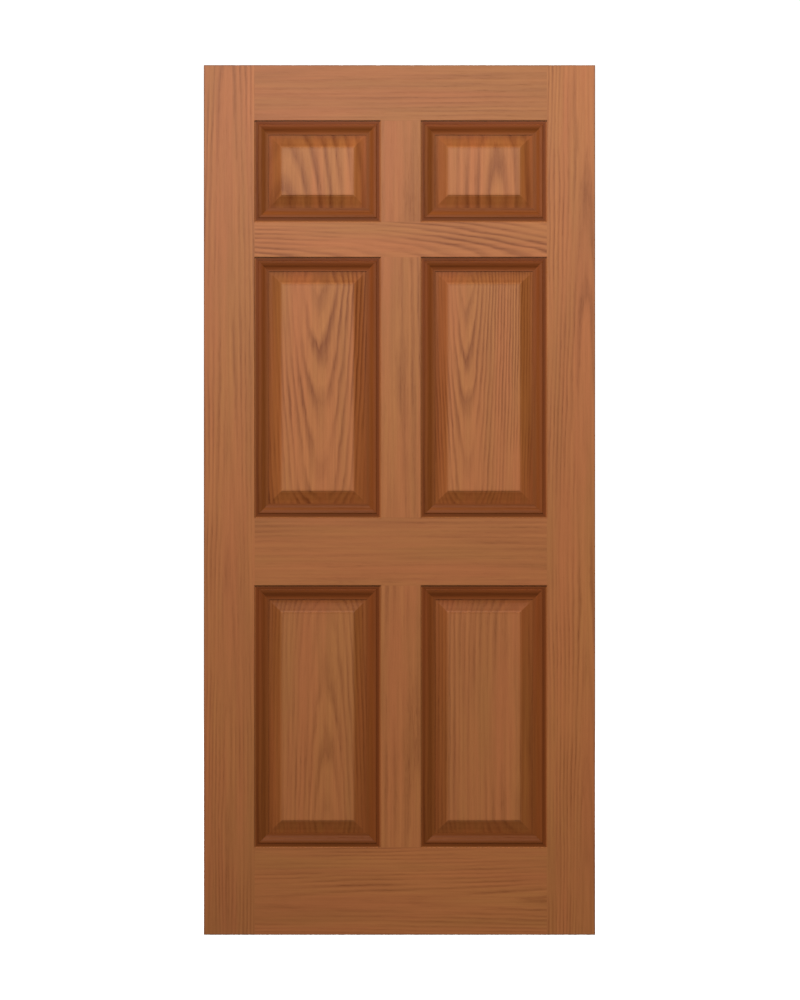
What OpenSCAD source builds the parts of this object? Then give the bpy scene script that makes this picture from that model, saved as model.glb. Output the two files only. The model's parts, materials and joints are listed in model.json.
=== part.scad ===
// Six-panel oak front door slab, built as a dowelled stile-and-rail frame with floating raised
// panels and planted, mitred panel mouldings on both faces.
// Frame: X to the right as seen from the front, Y from front to back, Z up.
// Origin: middle of the bottom edge, so the front face lies at y = -door_t / 2.

/* [Door slab] */
// Width of the slab
door_w = 914.4; // [760:0.1:1100]
// Height of the slab
door_h = 2032; // [1690:1:2440]
// Thickness of the slab
door_t = 44.45; // [42:0.05:56]

/* [Stiles, mullions and rails] */
// Face width of the stile that carries the hinges
hinge_stile_w = 119; // [95:1:150]
// Face width of the stile on the lock side
lock_stile_w = 113; // [90:1:150]
// Face width of each upright between the two columns of panels
mullion_w = 95; // [75:1:130]
// Face height of the top rail
top_rail_h = 130; // [90:1:180]
// Face height of the frieze rail, under the top row of panels
frieze_rail_h = 83; // [69:1:130]
// Face height of the lock rail, between the middle and the bottom row
lock_rail_h = 159; // [110:1:220]
// Face height of the bottom rail
bottom_rail_h = 205; // [130:1:280]
// Height of the lock rail's lower edge above the bottom of the door
lock_rail_z = 816; // [640:1:1000]
// Height of the openings in the top row
top_opening_h = 236; // [180:1:300]

/* [Panels] */
// Thickness of a panel at its raised field
panel_t = 43.2; // [40:0.1:44]
// Thickness of a panel's flat margin, under the mouldings
margin_t = 30.2; // [27:0.1:32]
// Thickness of the panels' tongues and of the stub tenons
tongue_t = 15; // [13.5:0.1:18]
// Distance from the edge of an opening to the shoulder where a panel's tongue begins
shoulder_inset = 4; // [3.5:0.5:6]
// Distance from the edge of an opening to the raised field
field_inset = 62; // [50:1:80]
// Height of the square step around the raised field
field_step = 0.5; // [0.2:0.1:1.5]
// Radius of the slightly hollow bevel between the margin and the field
bevel_r = 250; // [150:10:600]

/* [Panel mouldings] */
// Width of a moulding across its face
moulding_w = 32.5; // [28:0.5:38]
// Distance of the moulding's crown below the face of the door
moulding_drop = 1.5; // [0.5:0.1:2.5]
// Distance from the edge of an opening to the moulding's crown
crown_inset = 10.5; // [6:0.1:11]
// Depth below the crown of the sunk quirk next to the stile or rail
quirk_depth = 1; // [0.5:0.1:1.5]
// Radius of the nose that rises from the quirk to the crown
nose_r = 2; // [1.6:0.1:3]
// Width of the flat lip at the moulding's inner edge
lip_w = 2; // [1:0.1:4]
// Height of that lip
lip_h = 1; // [0.6:0.1:2]

/* [Grooves] */
// Depth of the grooves in stiles, rails and mullions
groove_d = 12.7; // [10:0.1:15.5]

/* [Dowels] */
// Diameter of the dowels
dowel_d = 12; // [8:0.1:14]
// Length of the dowels between rails and stiles
rail_dowel_l = 127; // [70:1:150]
// Length of the dowels between mullions and rails
mullion_dowel_l = 60; // [40:1:64]

/* [Hinge gains] */
// Height of a hinge leaf
hinge_l = 101.6; // [76.2:0.1:127]
// Thickness of a hinge leaf, which is the depth of its gain
hinge_leaf_t = 2.54; // [1.5:0.01:4]
// Distance from the front face to the near edge of the gain
hinge_backset = 6.35; // [4:0.05:12]
// Corner radius of the leaf
hinge_corner_r = 15.875; // [1:0.005:16]
// Distance from the top of the door to the top hinge
hinge_from_top = 177.8; // [120:0.1:250]
// Distance from the bottom of the door to the bottom hinge
hinge_from_bottom = 279.4; // [200:0.1:350]
// Distance between the two outer screws of a leaf
outer_screws = 79.4; // [60:0.1:90]
// Distance between the two inner screws of a leaf
inner_screws = 34.9; // [20:0.1:40]
// Distance of the outer screws from the near edge of the gain
outer_screw_inset = 12.7; // [8:0.1:15]
// Distance of the inner screws from the near edge of the gain
inner_screw_inset = 22.2; // [18:0.1:26]
// Diameter of the screws' pilot holes
pilot_d = 2.8; // [2:0.1:4]
// Depth of the pilot holes below the gain
pilot_depth = 25; // [15:1:32]

/* [Clearances] */
// Gap between a tongue and each cheek of its groove
tongue_fit = 0.2; // [0.05:0.05:0.5]
// Gap between the end of a stub tenon and the groove's floor
tenon_end_gap = 0.5; // [0.1:0.1:2]
// Room left for a panel to swell, at its sides and above it
panel_gap = 3.2; // [1:0.1:5]
// Gap between a panel and the back of the mouldings planted over it
moulding_fit = 0.2; // [0.05:0.05:0.5]
// Length by which a moulding stops short of its mitre line, at each end
mitre_fit = 0.1; // [0.05:0.05:0.3]
// Flat strip of panel that shows between a moulding and the bevel
bevel_reveal = 0.5; // [0.1:0.1:3]
// Gap around a dowel in its bore
dowel_fit = 0.1; // [0.05:0.01:0.3]
// Room for glue at each end of a dowel
dowel_end_gap = 2; // [0.5:0.1:4]

/* [Hidden] */
$fn = 96;
over = 1;
// Depth by which a curve dips below the surface that it runs into, so that the two cross
bite = 0.03;

// Uprights, from left to right
left_x = -door_w / 2 + hinge_stile_w;
right_x = door_w / 2 - lock_stile_w;
opening_w = (right_x - left_x - mullion_w) / 2;
mullion_x = left_x + opening_w;
COLUMN_X = [left_x, mullion_x + mullion_w];

// Rails and rows of openings, from the bottom up
frieze_rail_z = door_h - top_rail_h - top_opening_h - frieze_rail_h;
middle_row_z = lock_rail_z + lock_rail_h;
ROW_Z = [bottom_rail_h, middle_row_z, frieze_rail_z + frieze_rail_h];
ROW_H = [lock_rail_z - bottom_rail_h, frieze_rail_z - middle_row_z, top_opening_h];
RAIL_Z = [0, lock_rail_z, frieze_rail_z, door_h - top_rail_h];
RAIL_H = [bottom_rail_h, lock_rail_h, frieze_rail_h, top_rail_h];
RAIL_DOWELS = [3, 3, 2, 2];
MULLION_DOWELS = 2;

groove_w = tongue_t + 2 * tongue_fit;
tenon_l = groove_d - tenon_end_gap;
tongue_l = groove_d - panel_gap;
bevel_start = moulding_w + bevel_reveal;
bore_d = dowel_d + 2 * dowel_fit;
moulding_back = margin_t / 2 + moulding_fit;
moulding_t = door_t / 2 - moulding_drop - moulding_back;
gain_w = door_t - hinge_backset;
low_hinge_z = hinge_from_bottom + hinge_l / 2;
high_hinge_z = door_h - hinge_from_top - hinge_l / 2;
HINGE_Z = [low_hinge_z, (low_hinge_z + high_hinge_z) / 2, high_hinge_z];

stile_colour = [0.63, 0.39, 0.24];
rail_colour = [0.66, 0.42, 0.27];
panel_colour = [0.67, 0.43, 0.27];
moulding_colour = [0.47, 0.27, 0.14];
dowel_colour = [0.80, 0.66, 0.46];

ROWS = ["bottom", "middle", "top"];
COLUMNS = ["left", "right"];
FACES = ["front", "back"];
RAILS = ["bottom_rail", "lock_rail", "frieze_rail", "top_rail"];

// Centres of n dowels shared evenly over the stretch from a to b
function spread(a, b, n) = [for (i = [0:n - 1]) a + (b - a) * (i + 0.5) / n];

function has_groove_below(i) = i > 0;
function has_groove_above(i) = i < len(RAIL_Z) - 1;

// Heights of rail i's dowels, kept between its grooves
function rail_dowel_z(i) = spread(
    RAIL_Z[i] + (has_groove_below(i) ? groove_d : 0),
    RAIL_Z[i] + RAIL_H[i] - (has_groove_above(i) ? groove_d : 0),
    RAIL_DOWELS[i]
);

mullion_dowel_x = spread(mullion_x + groove_d, mullion_x + mullion_w - groove_d, MULLION_DOWELS);

// A rod of diameter d and length l along X, with its middle at the given place
module rod_x(d, l, x, z) {
    translate([x - l / 2, 0, z])
        rotate([0, 90, 0])
            cylinder(d = d, h = l);
}

// The same along Z
module rod_z(d, l, x, z) {
    translate([x, 0, z - l / 2])
        cylinder(d = d, h = l);
}

// Dowels of rail i, half in the stile and half in the rail, at both ends of the rail
module rail_rods(i, d, l) {
    for (x = [left_x, right_x], z = rail_dowel_z(i))
        rod_x(d, l, x, z);
}

// Dowels of the mullion in a row, at both of its ends
module mullion_rods(row, d, l) {
    for (x = mullion_dowel_x, z = [ROW_Z[row], ROW_Z[row] + ROW_H[row]])
        rod_z(d, l, x, z);
}

module rail_bores(i) {
    rail_rods(i, bore_d, rail_dowel_l + 2 * dowel_end_gap);
}

module mullion_bores(row) {
    mullion_rods(row, bore_d, mullion_dowel_l + 2 * dowel_end_gap);
}

// Recess for one hinge leaf, open at the back face, with its two near corners rounded
module gain_outline() {
    translate([hinge_corner_r, 0])
        square([gain_w - hinge_corner_r + over, hinge_l]);
    translate([0, hinge_corner_r])
        square([hinge_corner_r, hinge_l - 2 * hinge_corner_r]);
    for (z = [hinge_corner_r, hinge_l - hinge_corner_r])
        translate([hinge_corner_r, z])
            circle(r = hinge_corner_r);
}

module pilot(inset, z) {
    translate([-door_w / 2, -door_t / 2 + hinge_backset + inset, z])
        rotate([0, 90, 0])
            cylinder(d = pilot_d, h = hinge_leaf_t + pilot_depth);
}

module hinge_gain(z) {
    translate([-door_w / 2 - over, -door_t / 2 + hinge_backset, z - hinge_l / 2])
        rotate([90, 0, 90])
            linear_extrude(height = hinge_leaf_t + over)
                gain_outline();
    for (side = [-1, 1]) {
        pilot(outer_screw_inset, z + side * outer_screws / 2);
        pilot(inner_screw_inset, z + side * inner_screws / 2);
    }
}

// Upright with a groove in its inner edge, which lies at x = inner_x
module stile(x, w, inner_x) {
    difference() {
        translate([x, -door_t / 2, 0])
            cube([w, door_t, door_h]);
        translate([inner_x - groove_d, -groove_w / 2, -over])
            cube([2 * groove_d, groove_w, door_h + 2 * over]);
        for (i = [0:len(RAILS) - 1])
            rail_bores(i);
    }
}

module hinge_stile() {
    color(stile_colour)
        difference() {
            stile(-door_w / 2, hinge_stile_w, left_x);
            for (z = HINGE_Z)
                hinge_gain(z);
        }
}

module lock_stile() {
    color(stile_colour)
        stile(right_x, lock_stile_w, right_x);
}

// Groove along the edge of rail i that lies at height z
module rail_groove(z) {
    translate([left_x - groove_d - over, -groove_w / 2, z - groove_d])
        cube([right_x - left_x + 2 * (groove_d + over), groove_w, 2 * groove_d]);
}

module rail(i) {
    color(rail_colour)
        difference() {
            union() {
                translate([left_x, -door_t / 2, RAIL_Z[i]])
                    cube([right_x - left_x, door_t, RAIL_H[i]]);
                translate([left_x - tenon_l, -tongue_t / 2, RAIL_Z[i]])
                    cube([right_x - left_x + 2 * tenon_l, tongue_t, RAIL_H[i]]);
            }
            if (has_groove_below(i)) {
                rail_groove(RAIL_Z[i]);
                mullion_bores(i - 1);
            }
            if (has_groove_above(i)) {
                rail_groove(RAIL_Z[i] + RAIL_H[i]);
                mullion_bores(i);
            }
            rail_bores(i);
        }
}

module mullion(row) {
    color(stile_colour)
        difference() {
            union() {
                translate([mullion_x, -door_t / 2, ROW_Z[row]])
                    cube([mullion_w, door_t, ROW_H[row]]);
                translate([mullion_x, -tongue_t / 2, ROW_Z[row] - tenon_l])
                    cube([mullion_w, tongue_t, ROW_H[row] + 2 * tenon_l]);
            }
            for (x = [mullion_x, mullion_x + mullion_w])
                translate([x - groove_d, -groove_w / 2, ROW_Z[row] - groove_d - over])
                    cube([2 * groove_d, groove_w, ROW_H[row] + 2 * (groove_d + over)]);
            mullion_bores(row);
        }
}

// Centre of an arc of radius r that rises from point a to point b as a hollow
function hollow_centre(a, b, r) =
    (a + b) / 2 + sqrt(pow(r / norm(b - a), 2) - 1 / 4) * [a[1] - b[1], b[0] - a[0]];

// What is cut away above the bevel at one end of one face
module bevel_cut() {
    foot = [bevel_start, margin_t / 2];
    top = [field_inset, panel_t / 2 - field_step];
    intersection() {
        translate(hollow_centre(foot, top, bevel_r))
            circle(r = bevel_r);
        square([field_inset, panel_t]);
    }
}

// Section of a panel over an opening of length l, with tongues of the given lengths at its ends
module panel_section(l, near_tongue, far_tongue) {
    raised_start = bevel_start - over;
    translate([-near_tongue, -tongue_t / 2])
        square([near_tongue + l + far_tongue, tongue_t]);
    translate([shoulder_inset, -margin_t / 2])
        square([l - 2 * shoulder_inset, margin_t]);
    difference() {
        translate([raised_start, -panel_t / 2])
            square([l - 2 * raised_start, panel_t]);
        for (face = [0, 1], end = [0, 1])
            mirror([0, face, 0])
                translate([end * l, 0])
                    mirror([end, 0, 0])
                        bevel_cut();
    }
}

// A panel rests on the floor of the groove below it and is free at its sides and above
module panel(row, column) {
    x = COLUMN_X[column];
    z = ROW_Z[row];
    h = ROW_H[row];
    color(panel_colour)
        intersection() {
            translate([x, 0, z - groove_d - over])
                linear_extrude(height = h + 2 * (groove_d + over))
                    panel_section(opening_w, tongue_l, tongue_l);
            translate([x + opening_w + groove_d, 0, z])
                rotate([0, -90, 0])
                    linear_extrude(height = opening_w + 2 * groove_d)
                        panel_section(h, groove_d, tongue_l);
        }
}

// Radius of the arc that starts level and reaches a height over a run
function arc_radius(run, height) = (pow(run, 2) + pow(height, 2)) / (2 * height);

// Section of the moulding: x runs in from the edge of the opening, y stands up from its back.
// Quirk, nose, then an ogee that falls to a square lip: a round and a hollow of the same radius.
// The round runs on a little inside the hollow, so that their arcs cross.
module moulding_section() {
    foot = moulding_w - lip_w;
    half_w = (foot - crown_inset) / 2;
    round_w = 1.5 * half_w;
    ogee_r = arc_radius(half_w, (moulding_t - lip_h) / 2);
    square([moulding_w, lip_h]);
    square([crown_inset, moulding_t - quirk_depth]);
    translate([crown_inset, moulding_t - nose_r])
        circle(r = nose_r);
    intersection() {
        translate([crown_inset, 0])
            square([round_w, moulding_t]);
        translate([crown_inset, moulding_t - bite - ogee_r])
            circle(r = ogee_r);
    }
    difference() {
        translate([crown_inset + half_w, 0])
            square([half_w, moulding_t]);
        translate([foot, lip_h - 2 * bite + ogee_r])
            circle(r = ogee_r);
    }
}

// One strip of length l along X, mitred at both ends, its outer edge on z = 0 and its back on y = 0
module moulding_strip(l) {
    intersection() {
        rotate([180, 0, 0])
            rotate([0, 90, 0])
                linear_extrude(height = l)
                    moulding_section();
        translate([0, over, 0])
            rotate([90, 0, 0])
                linear_extrude(height = moulding_t + 2 * over)
                    polygon([
                        [mitre_fit - over, -over],
                        [l - mitre_fit + over, -over],
                        [l - mitre_fit - moulding_w - over, moulding_w + over],
                        [mitre_fit + moulding_w + over, moulding_w + over]
                    ]);
    }
}

// Four strips around one opening, on the front (face = 0) or the back (face = 1)
module moulding(row, column, face) {
    sides = [opening_w, ROW_H[row], opening_w, ROW_H[row]];
    color(moulding_colour)
        translate([COLUMN_X[column] + opening_w / 2, 0, ROW_Z[row] + ROW_H[row] / 2])
            mirror([0, face, 0])
                for (i = [0:3])
                    rotate([0, -90 * i, 0])
                        translate([-sides[i] / 2, -moulding_back, -sides[(i + 1) % 4] / 2])
                            moulding_strip(sides[i]);
}

module rail_dowels(i) {
    color(dowel_colour)
        rail_rods(i, dowel_d, rail_dowel_l);
}

module mullion_dowels(row) {
    color(dowel_colour)
        mullion_rods(row, dowel_d, mullion_dowel_l);
}

hinge_stile();
lock_stile();
for (i = [0:len(RAILS) - 1]) {
    rail(i);
    rail_dowels(i);
}
for (row = [0:len(ROWS) - 1]) {
    mullion(row);
    mullion_dowels(row);
    for (column = [0, 1]) {
        name = str(ROWS[row], "_", COLUMNS[column]);
        panel(row, column);
        for (face = [0, 1]) {
            moulding_name = str(name, "_", FACES[face], "_moulding");
            moulding(row, column, face);
        }
    }
}
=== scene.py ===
import json
import math
from collections import namedtuple

import bmesh
import bpy
from mathutils import Matrix, Vector


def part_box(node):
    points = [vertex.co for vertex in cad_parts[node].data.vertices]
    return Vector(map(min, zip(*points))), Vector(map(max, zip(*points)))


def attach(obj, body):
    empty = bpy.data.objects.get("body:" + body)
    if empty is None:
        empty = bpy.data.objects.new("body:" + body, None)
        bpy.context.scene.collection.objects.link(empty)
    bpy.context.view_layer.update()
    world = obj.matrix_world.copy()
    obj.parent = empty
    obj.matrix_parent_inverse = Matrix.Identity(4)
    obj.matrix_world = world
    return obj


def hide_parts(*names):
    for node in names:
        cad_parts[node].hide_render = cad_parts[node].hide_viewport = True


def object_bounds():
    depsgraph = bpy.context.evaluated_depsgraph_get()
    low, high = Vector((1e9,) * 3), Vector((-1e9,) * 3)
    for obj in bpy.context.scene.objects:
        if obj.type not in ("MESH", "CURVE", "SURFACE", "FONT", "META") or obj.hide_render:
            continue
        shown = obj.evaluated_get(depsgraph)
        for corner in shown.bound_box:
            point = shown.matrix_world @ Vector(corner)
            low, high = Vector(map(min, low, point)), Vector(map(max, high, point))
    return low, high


bl_info = {
    "name": "Panelled Oak Door",
    "version": (1, 0, 0),
    "blender": (4, 5, 0),
    "location": "3D View > Sidebar > Oak Door",
    "description": "Builds a six-panel oak door slab piece by piece, its finish and its studio",
    "category": "Add Mesh",
}

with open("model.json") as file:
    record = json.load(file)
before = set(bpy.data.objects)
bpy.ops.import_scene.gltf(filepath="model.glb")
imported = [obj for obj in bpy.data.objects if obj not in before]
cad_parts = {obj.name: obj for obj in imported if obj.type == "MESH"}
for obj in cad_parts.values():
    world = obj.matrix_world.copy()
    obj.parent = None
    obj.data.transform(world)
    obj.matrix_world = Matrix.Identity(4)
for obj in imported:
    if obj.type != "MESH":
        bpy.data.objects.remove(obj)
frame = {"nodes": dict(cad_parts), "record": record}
SLAB_LOW, SLAB_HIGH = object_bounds()
HALF_T = SLAB_HIGH.y
MIDDLE_Z = (SLAB_LOW.z + SLAB_HIGH.z) / 2
MM_PER_M = 1000

# Points nearer than this are one point, and a direction with this share of an axis runs along it
SMALL = 1e-5
ALONG = 0.9

# Into how many parts the curved shapes are divided
ARRIS_STEPS = 3
BEVEL_STEPS = 6
NOSE_STEPS = 6
OGEE_STEPS = 8
CORNER_STEPS = 12
SWEEP_STEPS = 24
PILOT_SIDES = 24

# How far the tool that cuts a hinge gain reaches past the slab's edge and its back face
PAST_EDGE = 0.01
PAST_BACK = 0.05

ROWS = ("bottom", "middle", "top")
COLUMNS = ("left", "right")
FACES = ("front", "back")
RAILS = ("bottom_rail", "lock_rail", "frieze_rail", "top_rail")
BELOW = dict(zip(RAILS[1:], ROWS))
ABOVE = dict(zip(RAILS, ROWS))

# Each opening's corners, (low x, low z) and (high x, high z), as the mouldings fill it
OPENINGS = {}
for row in ROWS:
    for column in COLUMNS:
        low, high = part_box(f"{row}_{column}_front_moulding")
        OPENINGS[row, column] = ((low.x, low.z), (high.x, high.z))
LEFT_X = OPENINGS["top", "left"][0][0]
RIGHT_X = OPENINGS["top", "right"][1][0]
FIELD_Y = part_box("top_left_panel")[1].y

Figure = namedtuple("Figure", "along heart level pith slope ring bend mark tone")
# How each piece was cut from its log: the direction of its grain, where the heart line and the
# figure's middle lie (across and along the grain), the pith's distance behind the middle of the
# board, how fast that changes along the piece (its sign points the arches), the width of a ring, how
# much the rings wander, how strongly they are marked, and the piece's own lightness
FIGURES = {
    "hinge_stile": Figure("Z", -0.402, 1.32, 0.050, 0.022, 0.0085, 0.026, 0.55, 0.985),
    "lock_stile": Figure("Z", 0.436, 0.80, 0.048, 0.026, 0.0080, 0.036, 0.60, 0.98),
    "top_rail": Figure("X", 2.04, 0.10, 0.120, 0.012, 0.0080, 0.020, 0.35, 0.88),
    "frieze_rail": Figure("X", 1.56, -0.20, 0.070, 0.110, 0.0085, 0.040, 1.00, 1.03),
    "lock_rail": Figure("X", 0.80, 0.00, 0.200, 0.008, 0.0075, 0.016, 0.30, 0.94),
    "bottom_rail": Figure("X", 0.082, 0.35, 0.052, -0.030, 0.0080, 0.026, 0.55, 0.99),
    "top_mullion": Figure("Z", 0.03, 1.70, 0.130, 0.010, 0.0090, 0.020, 0.55, 0.96),
    "middle_mullion": Figure("Z", -0.02, 1.25, 0.120, 0.012, 0.0085, 0.022, 0.55, 0.96),
    "bottom_mullion": Figure("Z", 0.04, 0.50, 0.140, 0.010, 0.0085, 0.020, 0.50, 0.97),
    "top_left_panel": Figure("Z", -0.275, 1.70, 0.060, 0.240, 0.0240, 0.020, 0.85, 1.02),
    "top_right_panel": Figure("Z", 0.228, 1.86, 0.052, 0.120, 0.0230, 0.020, 0.90, 1.02),
    "middle_left_panel": Figure("Z", -0.185, 1.389, 0.100, -0.060, 0.0080, 0.014, 1.00, 1.03),
    "middle_right_panel": Figure("Z", 0.158, 1.36, 0.060, -0.055, 0.0066, 0.014, 0.90, 1.00),
    "bottom_left_panel": Figure("Z", -0.170, 0.50, 0.080, 0.055, 0.0080, 0.018, 0.55, 0.97),
    "bottom_right_panel": Figure("Z", 0.290, 0.40, 0.150, 0.012, 0.0085, 0.020, 0.45, 0.96),
}

# A moulding's strips are straight-grained: how far their heart line lies outside the opening, and the
# rest of their figure
MOULDING_HEART = 0.1
MOULDING_FIGURE = {"pith": 0.2, "slope": 0.01, "ring": 0.006, "bend": 0.02, "mark": 0.3}

# How much red light the stain gathered around an opening lets through, together with painted shade
# of its recess, at distances in metres in from the opening's edge, and the powers of it that let
# through green and blue
RECESS_STAIN_AND_SHADE = (
    (-0.004, 1.00),
    (-0.001, 0.92),
    (0.003, 0.44),
    (0.007, 0.37),
    (0.012, 0.48),
    (0.030, 0.49),
    (0.036, 0.61),
    (0.050, 0.70),
    (0.057, 0.68),
    (0.063, 0.90),
    (0.068, 1.00),
)
RECESS_STAIN_AND_SHADE_EXPONENTS = (1.0, 1.40, 1.95)

Noise = namedtuple("Noise", "across along detail low high", defaults=(2.0, 0.0, 1.0))
# Features to the metre across the grain and along it, how finely they are broken up, and the part of
# the noise's range that is spread out to the whole of the pattern's
WANDER = Noise(6.0, 1.1)
QUIVER = Noise(55.0, 9.0, 3.0)
FADE = Noise(14.0, 3.5, 2.0, 0.38, 0.62)
STREAKS = Noise(170.0, 4.0, 4.0, 0.32, 0.70)
PORES = Noise(1100.0, 38.0, 1.0, 0.56, 0.72)
BROWNER = Noise(24.0, 2.0, 2.0, 0.36, 0.64)
CLOUDS = Noise(9.0, 1.8, 2.0, 0.30, 0.70)
FLECKS = Noise(420.0, 90.0, 2.0, 0.52, 0.66)

# One growth ring, by how dark it is at shares of its width: a band of pores, then even late wood
RING = ((0.0, 0.45), (0.12, 1.0), (0.30, 0.75), (0.55, 0.15), (0.85, 0.0), (1.0, 0.45))
# How far small quivers move a ring in metres, how faint it gets where it fades, and how many of the
# pores are left between the rings
RING_QUIVER = 0.006
FAINTEST_RING = 0.15
FEWEST_PORES = 0.3
# How dark the streaks and the pores are, and between which shades the wood changes slowly
STREAK_DARK, PORE_DARK = 0.25, 0.35
CLOUD_SHADES = (0.93, 1.07)

# The darkening of the outer arrises is full and gone at these depths from the edge
SHADE_FULL, SHADE_GONE = 0.0008, 0.0030

# The satin varnish: the shine of the stained wood, and a coat whose weight is the first of the two
# where the gathered stain and painted shade let through no more than this share of the light, and the
# second elsewhere
BARE_SHINE = 0.14
COAT_ROUGHNESS = 0.45
COATS = (0.06, 0.66)
DULL_STAIN_AND_SHADE = 0.60
# What the pores add to the roughness, and the relief of pores and streaks that shows in the varnish
PORE_ROUGHNESS = 0.22
PORE_RELIEF, STREAK_RELIEF = -1.0, -0.25
OAK_RELIEF = {"Strength": 0.35, "Distance": 0.0003}
BEECH_RELIEF = {"Strength": 0.3, "Distance": 0.0002}
BEECH_ROUGHNESS = 0.7

# The studio, in metres: half the floor's width, the backdrop's height and the sweep between them
REACH = 14.0
BACKDROP_H = 12
SWEEP = 2.5
GROUND_ROUGHNESS = 0.9
WHITE = (1.0, 1.0, 1.0, 1.0)

# The softboxes: where they stand, the point they are aimed at, and their width and height
Place = namedtuple("Place", "spot aim size")
KEY_PLACE = Place((-2.1, -5.5, 8.4), (0.8, 0, 2.4), (2.6, 2.6))
SHEEN_PLACE = Place((-0.4, -4.5, 2.8), (0, 0, 1.9), (3.0, 0.9))
BACK_PLACE = Place((1.2, 5.0, 4.5), (0, 0, 1.0), (3.0, 2.0))
KEY_SPREAD = math.radians(64)

# The camera's sensor in millimetres, and how far it stands beside the slab's middle in metres
SENSOR_W = 36.0
CAMERA_X = 0.0012


# ---------------------------------------------------------------- settings


def length(name, description, default):
    return bpy.props.FloatProperty(
        name=name, description=description, default=default, min=0.0, unit="LENGTH", precision=5
    )


def colour(name, description, default):
    return bpy.props.FloatVectorProperty(
        name=name,
        description=description,
        default=default,
        size=3,
        min=0.0,
        max=1.0,
        subtype="COLOR",
    )


def share(name, description, default):
    return bpy.props.FloatProperty(
        name=name, description=description, default=default, min=0.0, max=1.0, subtype="FACTOR"
    )


def power(name, description, default):
    return bpy.props.FloatProperty(name=name, description=description, default=default, unit="POWER")


def number(name, description, default):
    return bpy.props.FloatProperty(name=name, description=description, default=default)


class OakDoorSizes(bpy.types.PropertyGroup):
    arris: length("Arris", "Width of the eased edges of the slab and its openings", 0.0012)
    tongue_t: length("Tongue", "Thickness of the panels' tongues and of the stub tenons", 0.015)
    margin_t: length("Margin", "Thickness of the panels' flat margin, under the mouldings", 0.0302)
    shoulder: length("Shoulder", "From the edge of an opening to where a panel's tongue begins", 0.004)
    tongue_fit: length("Tongue fit", "Gap between a tongue and each cheek of its groove", 0.0002)
    groove_d: length("Groove depth", "Depth of the grooves in stiles, rails and mullions", 0.0127)
    bore_fit: length("Bore fit", "Gap around a dowel in its bore", 0.0001)
    field_inset: length("Field inset", "From the edge of an opening to the raised field", 0.062)
    field_step: length("Field step", "Height of the square step around the field", 0.0005)
    field_arris: length("Field arris", "Width of the eased edge of the field", 0.0004)
    bevel_start: length("Bevel start", "From the edge of an opening to the foot of the bevel", 0.033)
    bevel_r: length("Bevel radius", "Radius of the slightly hollow bevel", 0.250)


class OakDoorMoulding(bpy.types.PropertyGroup):
    width: length("Width", "Width of the moulding across its face", 0.0325)
    crown_inset: length("Crown inset", "From the edge of an opening to the moulding's crown", 0.0105)
    quirk_depth: length("Quirk depth", "Depth of the quirk at the outer edge, below the crown", 0.001)
    nose_r: length("Nose radius", "Radius of the nose that rises from the quirk to the crown", 0.002)
    lip_w: length("Lip width", "Width of the flat lip at the inner edge", 0.002)
    lip_h: length("Lip height", "Height of the lip", 0.001)
    mitre_fit: length("Mitre fit", "Length by which a strip stops short of its mitre", 0.0001)


class OakDoorHinges(bpy.types.PropertyGroup):
    leaf_l: length("Leaf length", "Height of a hinge gain", 0.1016)
    backset: length("Backset", "From the front face to the near edge of a gain", 0.00635)
    corner_r: length("Corner radius", "Radius of the gain's two near corners", 0.015875)
    pilot_depth: length("Pilot depth", "Depth of the screws' pilot holes below the gain", 0.025)


class OakDoorFinish(bpy.types.PropertyGroup):
    light: colour("Late wood", "Stained colour of the pale wood between rings", (0.395, 0.128, 0.0385))
    tan: colour("Tan late wood", "The same in the browner streaks", (0.372, 0.136, 0.0370))
    deep: colour("Early wood", "Stained colour in the rings of open pores", (0.180, 0.048, 0.0105))
    rings: share("Ring strength", "How dark the rings of the most figured pieces are", 0.75)
    # The share of light left on the slab's darkened outer edges
    edge: share("Edge shade", "Light that the stain lets through on the slab's outer edges", 0.60)
    moulding_tone: share("Moulding tone", "Lightness of the mouldings against the panels", 1.00)
    roughness: share("Roughness", "Roughness of the satin varnish", 0.44)
    beech: colour("Beech", "Colour of the dowels", (0.60, 0.42, 0.24))
    beech_deep: colour("Beech fleck", "Colour of the flecks in the dowels", (0.42, 0.27, 0.13))


class OakDoorStudio(bpy.types.PropertyGroup):
    ground: colour("Ground", "Colour of the floor and the backdrop", (0.90, 0.90, 0.90))
    key_power: power("Key", "Power of the high softbox", 160.0)
    sheen_power: power("Sheen", "Power of the long softbox over the camera", 70.0)
    back_power: power("Back", "Power of the softbox behind the door", 420.0)
    world: number("World", "Strength of the white surroundings", 0.135)
    lens: number("Lens", "Focal length in millimetres", 135.0)
    frame_h: length("Frame height", "Height of the picture at the slab's front face", 2.3356)


# ---------------------------------------------------------------- modelling helpers


def only(*objects):
    """Leaves object mode, selects just these objects and makes the first one active."""
    if bpy.context.object and bpy.context.object.mode != "OBJECT":
        bpy.ops.object.mode_set(mode="OBJECT")
    bpy.ops.object.select_all(action="DESELECT")
    for ob in objects:
        ob.select_set(True)
    bpy.context.view_layer.objects.active = objects[0]


def settle(ob):
    """Applies an object's place, turn and scale to its mesh."""
    only(ob)
    bpy.ops.object.transform_apply(location=True, rotation=True, scale=True)
    return ob


def add_box(name, low, high):
    low, high = Vector(low), Vector(high)
    bpy.ops.object.select_all(action="DESELECT")
    bpy.ops.mesh.primitive_cube_add(size=1, location=(low + high) / 2, scale=high - low)
    ob = bpy.context.object
    ob.name = ob.data.name = name
    return settle(ob)


def add_plane(name, middle, size, turn=0.0):
    """A plane of a size along X and Y, turned about X."""
    bpy.ops.object.select_all(action="DESELECT")
    bpy.ops.mesh.primitive_plane_add(size=1, location=middle, rotation=(turn, 0, 0))
    ob = bpy.context.object
    ob.name = ob.data.name = name
    ob.scale = (*size, 1)
    return settle(ob)


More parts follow.
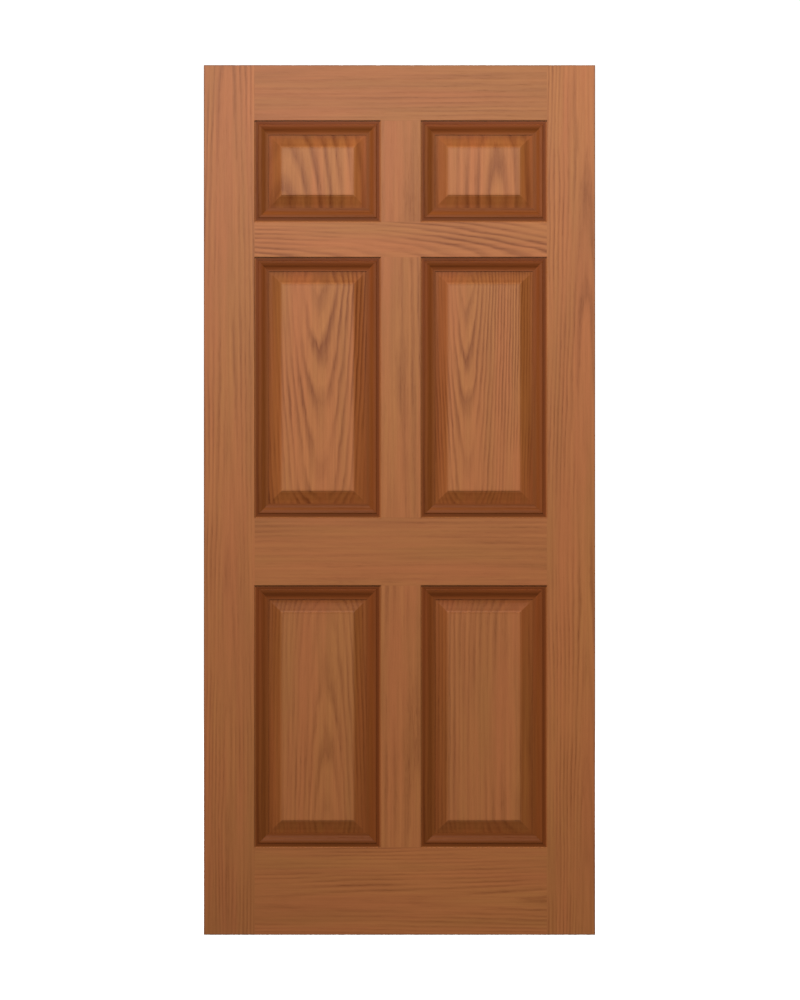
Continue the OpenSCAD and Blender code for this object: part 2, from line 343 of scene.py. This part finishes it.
def edit(ob):
    only(ob)
    bpy.ops.object.mode_set(mode="EDIT")


def leave():
    bpy.ops.object.mode_set(mode="OBJECT")


def pick(ob, kind, test):
    """Selects the faces or edges whose middle, and normal or direction, pass the test."""
    bpy.ops.mesh.select_mode(type=kind)
    bpy.ops.mesh.select_all(action="DESELECT")
    bm = bmesh.from_edit_mesh(ob.data)
    if kind == "FACE":
        for face in bm.faces:
            face.select_set(test(face.calc_center_median(), face.normal))
    else:
        for edge in bm.edges:
            a, b = (v.co for v in edge.verts)
            edge.select_set(test((a + b) / 2, (b - a).normalized()))
    bmesh.update_edit_mesh(ob.data)


def split(axis, places):
    """Cuts an edge loop around the mesh in edit mode at each place along an axis."""
    normal = [0, 0, 0]
    normal["XYZ".index(axis)] = 1
    for place in places:
        bpy.ops.mesh.select_all(action="SELECT")
        bpy.ops.mesh.bisect(plane_co=[n * place for n in normal], plane_no=normal)


def combine(ob, tool, operation):
    """Joins or cuts an object with a tool, and removes the tool."""
    only(ob)
    change = ob.modifiers.new(operation, "BOOLEAN")
    change.operation = operation
    change.solver = "EXACT"
    change.object = tool
    bpy.ops.object.modifier_apply(modifier=change.name)
    bpy.data.objects.remove(tool, do_unlink=True)


def finish(ob, node, material=None, smooth=0):
    """Lets a piece stand for its CAD node, in a material and smooth up to an angle in degrees.

    Without a material it keeps those it has, and without an angle its faces are flat.
    """
    if material:
        ob.data.materials.append(material)
    only(ob)
    if smooth:
        bpy.ops.object.shade_smooth_by_angle(angle=math.radians(smooth))
    else:
        bpy.ops.object.shade_flat()
    ob.name = ob.data.name = node + "_piece"
    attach(ob, "root")
    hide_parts(node)
    return ob


def arc_radius(width, height):
    """Radius of the arc that starts level and reaches a height over a width."""
    return (width**2 + height**2) / (2 * height)


def near(a, b):
    return abs(a - b) < SMALL


def on_outline(p):
    """True on the slab's outer edges, where they are eased."""
    side = near(abs(p.x), SLAB_HIGH.x)
    end = near(p.z, SLAB_LOW.z) or near(p.z, SLAB_HIGH.z)
    face = near(abs(p.y), HALF_T)
    return side + end + face > 1


def on_opening(p):
    """True on the edges between a face of the slab and an opening."""
    if not near(abs(p.y), HALF_T):
        return False
    for (x0, z0), (x1, z1) in OPENINGS.values():
        inside = x0 - SMALL < p.x < x1 + SMALL and z0 - SMALL < p.z < z1 + SMALL
        if inside and (near(p.x, x0) or near(p.x, x1) or near(p.z, z0) or near(p.z, z1)):
            return True
    return False


def bore_tool(node, fit):
    """A dowel node's own cylinders, fattened by the clearance in their bores."""
    tool = frame["nodes"][node].copy()
    tool.data = tool.data.copy()
    tool.parent = None
    bpy.context.collection.objects.link(tool)
    edit(tool)
    bpy.ops.mesh.select_all(action="SELECT")
    bpy.ops.mesh.remove_doubles(threshold=SMALL)
    bpy.ops.transform.shrink_fatten(value=fit)
    leave()
    return tool


def frame_member(node, body, tenon, grooves, splits, dowels):
    """A stile, rail or mullion: an eased body, its stub tenons, its grooves and its bores."""
    sizes = bpy.context.scene.oak_door_sizes
    ob = add_box(node, *body)
    edit(ob)
    for axis, places in splits:
        split(axis, places)
    pick(ob, "EDGE", lambda p, d: on_outline(p) or on_opening(p))
    bpy.ops.mesh.bevel(offset=sizes.arris, segments=ARRIS_STEPS, affect="EDGES")
    leave()
    if tenon:
        combine(ob, add_box("tenons", *tenon), "UNION")
    for groove in grooves:
        combine(ob, add_box("groove", *groove), "DIFFERENCE")
    for name in dowels:
        combine(ob, bore_tool(name, sizes.bore_fit), "DIFFERENCE")
    return ob


# ---------------------------------------------------------------- materials


def add_node(tree, kind, sockets=(), **options):
    """A shader node with its options set and its sockets given a value or a link."""
    node = tree.nodes.new(kind)
    for name, value in options.items():
        setattr(node, name, value)
    for key, value in dict(sockets).items():
        if isinstance(value, bpy.types.NodeSocket):
            tree.links.new(value, node.inputs[key])
        else:
            node.inputs[key].default_value = value
    return node


def calculate(tree, operation, a, b=0.0, clamp=False):
    made = add_node(tree, "ShaderNodeMath", {0: a, 1: b}, operation=operation, use_clamp=clamp)
    return made.outputs[0]


def grain_noise(tree, place, noise):
    """Noise with its features stretched along the grain, from 0 to 1 and mostly near the middle."""
    scale = (noise.across, noise.across, noise.along)
    scaled = add_node(tree, "ShaderNodeVectorMath", {0: place, 1: scale}, operation="MULTIPLY")
    sockets = {"Vector": scaled.outputs[0], "Scale": 1.0, "Detail": noise.detail}
    return add_node(tree, "ShaderNodeTexNoise", sockets).outputs["Fac"]


def grain_pattern(tree, place, noise, to_low=0.0, to_high=1.0):
    """The same with the named part of its range spread out."""
    return remap(tree, grain_noise(tree, place, noise), noise.low, noise.high, to_low, to_high)


def remap(tree, value, low, high, to_low=0.0, to_high=1.0, smooth=False):
    made = add_node(
        tree,
        "ShaderNodeMapRange",
        {"Value": value, "From Min": low, "From Max": high, "To Min": to_low, "To Max": to_high},
        interpolation_type="SMOOTHSTEP" if smooth else "LINEAR",
    )
    return made.outputs["Result"]


def tint(tree, amount, a, b, blend="MIX"):
    made = add_node(tree, "ShaderNodeMix", data_type="RGBA", blend_type=blend)
    for socket, value in ((made.inputs[0], amount), (made.inputs[6], a), (made.inputs[7], b)):
        if isinstance(value, bpy.types.NodeSocket):
            tree.links.new(value, socket)
        else:
            socket.default_value = value if isinstance(value, float) else (*value, 1.0)
    return made.outputs[2]


def new_material(name):
    material = bpy.data.materials.new(name)
    material.use_nodes = True
    tree = material.node_tree
    return material, tree, tree.nodes["Principled BSDF"]


def grain_space(tree, figure):
    """Object coordinates turned so that X runs across the grain, Y through the board, Z along it."""
    place = add_node(tree, "ShaderNodeTexCoord").outputs["Object"]
    turned = add_node(tree, "ShaderNodeMapping", {"Vector": place}, vector_type="POINT")
    if figure.along == "X":
        turned.inputs["Rotation"].default_value = (0, math.radians(-90), 0)
        turned.inputs["Location"].default_value = (figure.heart, 0, -figure.level)
    else:
        turned.inputs["Location"].default_value = (-figure.heart, 0, -figure.level)
    return place, turned.outputs["Vector"]


def color_ramp(tree, value, stops):
    """The colour that a value has on a ramp of stops, each a position and a colour."""
    node = add_node(tree, "ShaderNodeValToRGB", {"Fac": value})
    elements = node.color_ramp.elements
    while len(elements) < len(stops):
        elements.new(1.0)
    for element, (position, shade) in zip(elements, stops):
        element.position = position
        element.color = (*shade, 1.0)
    return node.outputs["Color"]


def opening_distance(tree, x, z):
    """Distance from the edge of the nearest opening in metres, positive inside it."""
    (x0, _), (x1, _) = OPENINGS["top", "right"]
    middle = (LEFT_X + RIGHT_X) / 2
    aside = calculate(tree, "ABSOLUTE", calculate(tree, "SUBTRACT", x, middle))
    aside = calculate(tree, "ABSOLUTE", calculate(tree, "SUBTRACT", aside, (x0 + x1) / 2 - middle))
    across = calculate(tree, "SUBTRACT", (x1 - x0) / 2, aside)
    along = None
    for row in ROWS:
        (_, z0), (_, z1) = OPENINGS[row, "right"]
        off = calculate(tree, "ABSOLUTE", calculate(tree, "SUBTRACT", z, (z0 + z1) / 2))
        inside = calculate(tree, "SUBTRACT", (z1 - z0) / 2, off)
        along = calculate(tree, "MAXIMUM", along, inside) if along else inside
    return calculate(tree, "MINIMUM", across, along)


def recess_stain_and_painted_shade(tree, place):
    """Gathered stain and painted recess shade around an opening, from the rails' edges to the field."""
    x, _, z = add_node(tree, "ShaderNodeSeparateXYZ", {"Vector": place}).outputs
    first, last = RECESS_STAIN_AND_SHADE[0][0], RECESS_STAIN_AND_SHADE[-1][0]
    inward = remap(tree, opening_distance(tree, x, z), first, last)
    stops = [
        ((distance - first) / (last - first), [light**exponent for exponent in RECESS_STAIN_AND_SHADE_EXPONENTS])
        for distance, light in RECESS_STAIN_AND_SHADE
    ]
    return color_ramp(tree, inward, stops)


def edge_shade(tree, place, edge):
    """Darkens the slab's eased outer arrises."""
    x, y, z = add_node(tree, "ShaderNodeSeparateXYZ", {"Vector": place}).outputs
    aside = calculate(tree, "SUBTRACT", SLAB_HIGH.x, calculate(tree, "ABSOLUTE", x))
    off = calculate(tree, "ABSOLUTE", calculate(tree, "SUBTRACT", z, MIDDLE_Z))
    inward = calculate(tree, "MINIMUM", aside, calculate(tree, "SUBTRACT", MIDDLE_Z - SLAB_LOW.z, off))
    deep = calculate(tree, "SUBTRACT", HALF_T, calculate(tree, "ABSOLUTE", y))
    away = calculate(tree, "MAXIMUM", inward, deep)
    return remap(tree, away, SHADE_FULL, SHADE_GONE, edge, 1.0, smooth=True)


def ring_marks(tree, figure, grain):
    """Dark bands where the board cuts its growth rings, fading here and there."""
    across, through, along = add_node(tree, "ShaderNodeSeparateXYZ", {"Vector": grain}).outputs
    depth = calculate(tree, "ADD", calculate(tree, "MULTIPLY", along, figure.slope), figure.pith)
    depth = calculate(tree, "ADD", depth, through)
    level = add_node(tree, "ShaderNodeCombineXYZ", {0: across, 1: depth}).outputs[0]
    radius = add_node(tree, "ShaderNodeVectorMath", {0: level}, operation="LENGTH").outputs["Value"]
    for noise, amount in ((WANDER, figure.bend), (QUIVER, RING_QUIVER)):
        swing = calculate(tree, "SUBTRACT", grain_noise(tree, grain, noise), 0.5)
        radius = calculate(tree, "ADD", radius, calculate(tree, "MULTIPLY", swing, amount))
    phase = calculate(tree, "FRACT", calculate(tree, "DIVIDE", radius, figure.ring))
    fade = grain_pattern(tree, grain, FADE, FAINTEST_RING, 1.0)
    ring = color_ramp(tree, phase, [(position, (dark,) * 3) for position, dark in RING])
    return calculate(tree, "MULTIPLY", ring, fade)


def oak_material(name, figure):
    """Stained, satin-varnished oak: rings cut by the board, streaks, open pores, stain and painted
    shade in recesses.
    """
    settings = bpy.context.scene.oak_door_finish
    material, tree, shader = new_material(name)
    place, grain = grain_space(tree, figure)
    rings = ring_marks(tree, figure, grain)
    streaks = grain_pattern(tree, grain, STREAKS)
    pores = grain_pattern(tree, grain, PORES)
    pores = calculate(tree, "MULTIPLY", pores, remap(tree, rings, 0.0, 1.0, FEWEST_PORES, 1.0))

    dark = calculate(tree, "MULTIPLY", rings, figure.mark * settings.rings)
    dark = calculate(tree, "ADD", dark, calculate(tree, "MULTIPLY", streaks, STREAK_DARK))
    dark = calculate(tree, "ADD", dark, calculate(tree, "MULTIPLY", pores, PORE_DARK), clamp=True)
    light = tint(tree, grain_pattern(tree, grain, BROWNER), settings.light, settings.tan)
    wood = tint(tree, dark, light, settings.deep)
    shade = calculate(tree, "MULTIPLY", grain_pattern(tree, grain, CLOUDS, *CLOUD_SHADES), figure.tone)
    shade = calculate(tree, "MULTIPLY", shade, edge_shade(tree, place, settings.edge))
    wood = add_node(tree, "ShaderNodeVectorMath", {0: wood, 3: shade}, operation="SCALE").outputs[0]
    # The stain gathered around the opening, with painted shade of its recess, darkens the wood
    stain_and_shade_tint = recess_stain_and_painted_shade(tree, place)
    wood = tint(tree, 1.0, wood, stain_and_shade_tint, "MULTIPLY")
    tree.links.new(wood, shader.inputs["Base Color"])

    roughest = settings.roughness + PORE_ROUGHNESS
    rough = remap(tree, pores, 0.0, 1.0, settings.roughness, roughest)
    tree.links.new(rough, shader.inputs["Roughness"])
    shader.inputs["Specular IOR Level"].default_value = BARE_SHINE
    # The coat thins where the gathered stain and painted shade are darkest
    tree.links.new(remap(tree, stain_and_shade_tint, DULL_STAIN_AND_SHADE, 1.0, *COATS), shader.inputs["Coat Weight"])
    shader.inputs["Coat Roughness"].default_value = COAT_ROUGHNESS

    sunk = calculate(tree, "MULTIPLY", pores, PORE_RELIEF)
    sunk = calculate(tree, "ADD", sunk, calculate(tree, "MULTIPLY", streaks, STREAK_RELIEF))
    add_bump(tree, shader, sunk, OAK_RELIEF)
    return material


def add_bump(tree, shader, height, relief):
    bump = add_node(tree, "ShaderNodeBump", {"Height": height, **relief})
    tree.links.new(bump.outputs["Normal"], shader.inputs["Normal"])


def beech_material():
    """Plain turned beech with short flecks, for the hidden dowels."""
    settings = bpy.context.scene.oak_door_finish
    material, tree, shader = new_material("beech_dowel")
    place = add_node(tree, "ShaderNodeTexCoord").outputs["Object"]
    flecks = grain_pattern(tree, place, FLECKS)
    wood = tint(tree, flecks, settings.beech, settings.beech_deep)
    tree.links.new(wood, shader.inputs["Base Color"])
    shader.inputs["Roughness"].default_value = BEECH_ROUGHNESS
    add_bump(tree, shader, flecks, BEECH_RELIEF)
    return material


# ---------------------------------------------------------------- operators


class OAKDOOR_OT_stiles(bpy.types.Operator):
    """Model the two full-height stiles, with the hinge gains in the left one"""

    bl_idname = "oakdoor.stiles"
    bl_label = "Stiles"

    def execute(self, context):
        levels = sorted({z for corners in OPENINGS.values() for _, z in corners})
        for node, inner in (("hinge_stile", LEFT_X), ("lock_stile", RIGHT_X)):
            ob = frame_member(
                node,
                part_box(node),
                None,
                [groove_box(context, (inner, SLAB_LOW.z), (inner, SLAB_HIGH.z))],
                [("Z", levels)],
                [rail + "_dowels" for rail in RAILS],
            )
            if node == "hinge_stile":
                self.cut_gains(context, ob)
            finish(ob, node, oak_material(node, FIGURES[node]))
        return {"FINISHED"}

    def cut_gains(self, context, ob):
        """The hinge gains at the mounts' places, with the pilot holes of their screws."""
        hinges = context.scene.oak_door_hinges
        mounts = {mount["name"]: mount for mount in frame["record"]["mounts"]}
        for name, mount in mounts.items():
            x, y, z = mount["pos_m"]
            if name.endswith("_hinge_seat"):
                low = (SLAB_LOW.x - PAST_EDGE, -HALF_T + hinges.backset, z - hinges.leaf_l / 2)
                tool = add_box("gain", low, (x, HALF_T + PAST_BACK, z + hinges.leaf_l / 2))
                edit(tool)
                pick(tool, "EDGE", lambda p, d: abs(d.x) > ALONG and near(p.y, low[1]))
                bpy.ops.mesh.bevel(offset=hinges.corner_r, segments=CORNER_STEPS, affect="EDGES")
                leave()
                combine(ob, tool, "DIFFERENCE")
            elif name.endswith("_screws"):
                for side in (-1, 1):
                    spot = z + side * mount["dims"]["spacing_y_mm"] / 2 / MM_PER_M
                    bpy.ops.object.select_all(action="DESELECT")
                    bpy.ops.mesh.primitive_cylinder_add(
                        vertices=PILOT_SIDES,
                        radius=mount["dims"]["hole_r_mm"] / MM_PER_M,
                        depth=2 * hinges.pilot_depth,
                        location=(x, y, spot),
                        rotation=(0, math.radians(90), 0),
                    )
                    combine(ob, settle(context.object), "DIFFERENCE")


def groove_box(context, start, end):
    """The space of a groove that runs from one (x, z) to another along the edge of a member."""
    sizes = context.scene.oak_door_sizes
    half = sizes.tongue_t / 2 + sizes.tongue_fit
    reach = sizes.groove_d
    upright = near(start[0], end[0])
    dx, dz = (reach, 2 * reach) if upright else (2 * reach, reach)
    return (start[0] - dx, -half, start[1] - dz), (end[0] + dx, half, end[1] + dz)


class OAKDOOR_OT_rails(bpy.types.Operator):
    """Model the four rails between the stiles"""

    bl_idname = "oakdoor.rails"
    bl_label = "Rails"

    def execute(self, context):
        sizes = context.scene.oak_door_sizes
        breaks = [OPENINGS["top", "left"][1][0], OPENINGS["top", "right"][0][0]]
        for node in RAILS:
            low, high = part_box(node)
            edges = [(node in BELOW, low.z, 1), (node in ABOVE, high.z, -1)]
            tenon_z = [z + side * sizes.groove_d * grooved for grooved, z, side in edges]
            half = sizes.tongue_t / 2
            neighbours = [rows[node] for rows in (BELOW, ABOVE) if node in rows]
            ob = frame_member(
                node,
                ((LEFT_X, low.y, low.z), (RIGHT_X, high.y, high.z)),
                ((low.x, -half, tenon_z[0]), (high.x, half, tenon_z[1])),
                [groove_box(context, (low.x, z), (high.x, z)) for grooved, z, _ in edges if grooved],
                [("X", breaks)],
                [node + "_dowels"] + [row + "_mullion_dowels" for row in neighbours],
            )
            finish(ob, node, oak_material(node, FIGURES[node]))
        return {"FINISHED"}


class OAKDOOR_OT_mullions(bpy.types.Operator):
    """Model the three mullions between the two columns of panels"""

    bl_idname = "oakdoor.mullions"
    bl_label = "Mullions"

    def execute(self, context):
        sizes = context.scene.oak_door_sizes
        half = sizes.tongue_t / 2
        for row in ROWS:
            node = row + "_mullion"
            low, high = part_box(node)
            (_, z0), (_, z1) = OPENINGS[row, "left"]
            ob = frame_member(
                node,
                ((low.x, low.y, z0), (high.x, high.y, z1)),
                ((low.x + sizes.groove_d, -half, low.z), (high.x - sizes.groove_d, half, high.z)),
                [groove_box(context, (x, low.z), (x, high.z)) for x in (low.x, high.x)],
                [],
                [node + "_dowels"],
            )
            finish(ob, node, oak_material(node, FIGURES[node]))
        return {"FINISHED"}


class OAKDOOR_OT_panels(bpy.types.Operator):
    """Model the six raised panels, with a bevel, a step and a field on both faces"""

    bl_idname = "oakdoor.panels"
    bl_label = "Raised panels"

    def execute(self, context):
        for row in ROWS:
            for column in COLUMNS:
                node = f"{row}_{column}_panel"
                ob = self.panel(context.scene.oak_door_sizes, node, *OPENINGS[row, column])
                finish(ob, node, oak_material(node, FIGURES[node]), smooth=14)
        return {"FINISHED"}

    def panel(self, sizes, node, low, high):
        inset, half = sizes.shoulder, sizes.margin_t / 2
        (x0, z0), (x1, z1) = low, high
        ob = add_box(node, (x0 + inset, -half, z0 + inset), (x1 - inset, half, z1 - inset))
        bevel = self.bevel(sizes, FIELD_Y - half - sizes.field_step)
        edit(ob)
        for sign in (-1, 1):
            pick(ob, "FACE", lambda p, n: n.y * sign > ALONG)
            bpy.ops.mesh.inset(thickness=sizes.bevel_start - inset, use_even_offset=True)
            for run, rise in bevel:
                bpy.ops.mesh.inset(thickness=run, use_even_offset=True)
                bpy.ops.transform.translate(value=(0, sign * rise, 0))
            step = (0, sign * sizes.field_step, 0)
            bpy.ops.mesh.extrude_region_move(TRANSFORM_OT_translate={"value": step})
        pick(ob, "EDGE", lambda p, d: near(abs(p.y), FIELD_Y))
        bpy.ops.mesh.bevel(offset=sizes.field_arris, segments=ARRIS_STEPS, affect="EDGES")
        leave()
        low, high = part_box(node)
        thin = sizes.tongue_t / 2
        tongue = add_box("tongue", (low.x, -thin, low.z), (high.x, thin, high.z))
        combine(ob, tongue, "UNION")
        return ob

    def bevel(self, sizes, height):
        """Runs and rises of short steps along the slightly hollow arc from the margin to the field."""
        width = sizes.field_inset - sizes.bevel_start
        slope = math.atan2(height, width)
        half_turn = math.asin(math.hypot(width, height) / 2 / sizes.bevel_r)
        turns = [slope - half_turn + 2 * half_turn * i / BEVEL_STEPS for i in range(BEVEL_STEPS + 1)]
        radius = sizes.bevel_r
        return [
            (radius * (math.sin(b) - math.sin(a)), radius * (math.cos(a) - math.cos(b)))
            for a, b in zip(turns, turns[1:])
        ]


class OAKDOOR_OT_mouldings(bpy.types.Operator):
    """Model the mitred mouldings around each opening, on both faces"""

    bl_idname = "oakdoor.mouldings"
    bl_label = "Panel mouldings"

    def execute(self, context):
        tone = context.scene.oak_door_finish.moulding_tone
        for row in ROWS:
            for column in COLUMNS:
                (x0, z0), (x1, z1) = OPENINGS[row, column]
                name = f"{row}_{column}"
                level = Figure("X", z0 - MOULDING_HEART, x0, tone=tone, **MOULDING_FIGURE)
                level = oak_material(name + "_level_moulding", level)
                upright = Figure("Z", x0 - MOULDING_HEART, z0, tone=tone, **MOULDING_FIGURE)
                upright = oak_material(name + "_upright_moulding", upright)
                for face in FACES:
                    node = f"{name}_{face}_moulding"
                    self.surround(context, node, face, ((x0, z0), (x1, z1)), (level, upright))
                    finish(context.object, node)
        return {"FINISHED"}

    def surround(self, context, node, face, opening, materials):
        """The four strips around an opening, on one face: top, right, bottom and left, joined."""
        (x0, z0), (x1, z1) = opening
        low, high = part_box(node)
        thick = high.y - low.y
        seat = min(abs(low.y), abs(high.y))
        middle = Matrix.Translation(((x0 + x1) / 2, 0, (z0 + z1) / 2))
        facing = Matrix.Rotation(math.pi if face == "back" else 0.0, 4, "Z")
        sides = (x1 - x0, z1 - z0, x1 - x0, z1 - z0)
        strips = []
        for i, side in enumerate(sides):
            strip = self.strip(context.scene.oak_door_moulding, side, thick)
            turn = Matrix.Rotation(math.radians(-90 * i), 4, "Y")
            drop = Matrix.Translation((0, -seat, -sides[(i + 1) % 4] / 2))
            strip.data.transform(middle @ facing @ turn @ drop)
            strip.data.materials.append(materials[i % 2])
            strips.append(strip)
        only(*strips)
        bpy.ops.object.join()

    def section(self, moulding, thick):
        """Points of the section from the outer edge to the inner one: (distance in, height)."""
        crown, nose = moulding.crown_inset, moulding.nose_r
        foot = moulding.width - moulding.lip_w
        half = (foot - crown) / 2
        radius = arc_radius(half, (thick - moulding.lip_h) / 2)
        rise = math.asin(1 - moulding.quirk_depth / nose)
        points = [(0, thick - moulding.quirk_depth)]
        for i in range(NOSE_STEPS + 1):
            turn = rise + (math.pi / 2 - rise) * i / NOSE_STEPS
            points.append((crown - nose * math.cos(turn), thick - nose + nose * math.sin(turn)))
        sweep = math.asin(half / radius)
        arc = [
            (radius * math.sin(sweep * i / OGEE_STEPS), radius * (1 - math.cos(sweep * i / OGEE_STEPS)))
            for i in range(OGEE_STEPS + 1)
        ]
        points += [(crown + run, thick - fall) for run, fall in arc[1:]]
        points += [(foot - run, moulding.lip_h + fall) for run, fall in arc[-2::-1]]
        return points + [(moulding.width, moulding.lip_h), (moulding.width, 0)]

    def strip(self, moulding, side, thick):
        """One mitred strip along X, its outer edge on z = 0 and its back on y = 0.

        Its back is a plane whose outer edge is drawn over the section, and grows shorter as it
        goes in, which cuts the mitres.
        """
        side = side - 2 * moulding.mitre_fit
        width = moulding.width
        ob = add_plane("strip", (0, 0, width / 2), (side, width), math.radians(90))
        edit(ob)
        pick(ob, "EDGE", lambda p, d: near(p.z, width))
        bpy.ops.transform.resize(value=((side - 2 * width) / side, 1, 1), center_override=(0, 0, 0))
        pick(ob, "EDGE", lambda p, d: near(p.z, 0))
        here = (0.0, 0.0)
        for there in self.section(moulding, thick):
            move = (0, here[1] - there[1], there[0] - here[0])
            bpy.ops.mesh.extrude_region_move(TRANSFORM_OT_translate={"value": move})
            ratio = (side - 2 * there[0]) / (side - 2 * here[0])
            bpy.ops.transform.resize(value=(ratio, 1, 1), center_override=(0, 0, 0))
            here = there
        bpy.ops.mesh.select_all(action="SELECT")
        bpy.ops.mesh.remove_doubles(threshold=SMALL)
        bpy.ops.mesh.fill_holes(sides=0)
        bpy.ops.mesh.select_all(action="SELECT")
        bpy.ops.mesh.normals_make_consistent(inside=False)
        leave()
        return ob


class OAKDOOR_OT_dowels(bpy.types.Operator):
    """Give the hidden dowels their beech"""

    bl_idname = "oakdoor.dowels"
    bl_label = "Dowels"

    def execute(self, context):
        beech = beech_material()
        for name, ob in frame["nodes"].items():
            if name.endswith("_dowels"):
                ob.data.materials.clear()
                ob.data.materials.append(beech)
        return {"FINISHED"}


class OAKDOOR_OT_studio(bpy.types.Operator):
    """Set up the pale floor and backdrop, the softboxes and the camera"""

    bl_idname = "oakdoor.studio"
    bl_label = "Studio"

    def execute(self, context):
        studio = context.scene.oak_door_studio
        self.ground(studio)
        self.lights(context, studio)
        self.camera(context, studio)
        return {"FINISHED"}

    def ground(self, studio):
        """A floor that sweeps up into a backdrop on every side."""

        def on_rim(p):
            return near(max(abs(p.x), abs(p.y)), REACH)

        floor = add_plane("studio_ground", (0, 0, 0), (2 * REACH, 2 * REACH))
        edit(floor)
        pick(floor, "EDGE", lambda p, d: on_rim(p))
        bpy.ops.mesh.extrude_region_move(TRANSFORM_OT_translate={"value": (0, 0, BACKDROP_H)})
        pick(floor, "EDGE", lambda p, d: on_rim(p) and near(p.z, 0))
        bpy.ops.mesh.bevel(offset=SWEEP, segments=SWEEP_STEPS, affect="EDGES")
        leave()
        only(floor)
        bpy.ops.object.shade_smooth()
        material, _, shader = new_material("studio_ground")
        shader.inputs["Base Color"].default_value = (*studio.ground, 1.0)
        shader.inputs["Roughness"].default_value = GROUND_ROUGHNESS
        shader.inputs["Emission Color"].default_value = WHITE
        shader.inputs["Emission Strength"].default_value = 1.0
        floor.data.materials.append(material)
        floor.visible_diffuse = False
        floor.visible_glossy = False

    def lights(self, context, studio):
        """White surroundings, and softboxes high up, over the camera and behind the door."""
        world = bpy.data.worlds.new("studio_world")
        world.use_nodes = True
        background = world.node_tree.nodes["Background"]
        background.inputs["Strength"].default_value = studio.world
        background.inputs["Color"].default_value = WHITE
        world.cycles_visibility.glossy = False
        context.scene.world = world
        key = self.softbox("key_softbox", KEY_PLACE, studio.key_power)
        key.data.spread = KEY_SPREAD
        key.visible_glossy = False
        self.softbox("sheen_softbox", SHEEN_PLACE, studio.sheen_power)
        self.softbox("back_softbox", BACK_PLACE, studio.back_power)

    def softbox(self, name, place, energy):
        """A lamp where its place says, that the camera doesn't see."""
        data = bpy.data.lights.new(name, "AREA")
        data.shape = "RECTANGLE"
        data.size, data.size_y = place.size
        data.energy = energy
        lamp = bpy.data.objects.new(name, data)
        lamp.location = place.spot
        aim = Vector(place.aim) - Vector(place.spot)
        lamp.rotation_euler = aim.to_track_quat("-Z", "Y").to_euler()
        lamp.visible_camera = False
        bpy.context.collection.objects.link(lamp)
        return lamp

    def camera(self, context, studio):
        """A long lens, level with the middle of the slab's front face."""
        data = bpy.data.cameras.new("front_camera")
        data.lens = studio.lens
        data.sensor_width = SENSOR_W
        distance = studio.frame_h * data.lens / data.sensor_width
        camera = bpy.data.objects.new("front_camera", data)
        camera.location = (CAMERA_X, -HALF_T - distance, MIDDLE_Z)
        camera.rotation_euler = (math.radians(90), 0, 0)
        context.collection.objects.link(camera)
        context.scene.camera = camera
        context.scene.view_settings.view_transform = "Standard"


class OAKDOOR_PT_sidebar(bpy.types.Panel):
    """Lists the door's pieces and their settings"""

    bl_idname = "OAKDOOR_PT_sidebar"
    bl_label = "Panelled Oak Door"
    bl_space_type = "VIEW_3D"
    bl_region_type = "UI"
    bl_category = "Oak Door"

    def draw(self, context):
        layout = self.layout
        for operator in OPERATORS:
            layout.operator(operator.bl_idname)
        for group in SETTINGS:
            box = layout.box()
            settings = getattr(context.scene, group)
            for name in settings.__annotations__:
                box.prop(settings, name)


SETTINGS = {
    "oak_door_sizes": OakDoorSizes,
    "oak_door_moulding": OakDoorMoulding,
    "oak_door_hinges": OakDoorHinges,
    "oak_door_finish": OakDoorFinish,
    "oak_door_studio": OakDoorStudio,
}
OPERATORS = (
    OAKDOOR_OT_stiles,
    OAKDOOR_OT_rails,
    OAKDOOR_OT_mullions,
    OAKDOOR_OT_panels,
    OAKDOOR_OT_mouldings,
    OAKDOOR_OT_dowels,
    OAKDOOR_OT_studio,
)


def register():
    for cls in (*SETTINGS.values(), *OPERATORS, OAKDOOR_PT_sidebar):
        bpy.utils.register_class(cls)
    for name, group in SETTINGS.items():
        setattr(bpy.types.Scene, name, bpy.props.PointerProperty(type=group))


def unregister():
    for name in SETTINGS:
        delattr(bpy.types.Scene, name)
    for cls in (OAKDOOR_PT_sidebar, *reversed(OPERATORS), *SETTINGS.values()):
        bpy.utils.unregister_class(cls)


def main():
    register()
    for operator in OPERATORS:
        group, name = operator.bl_idname.split(".")
        getattr(getattr(bpy.ops, group), name)()


if __name__ == "__main__":
    main()
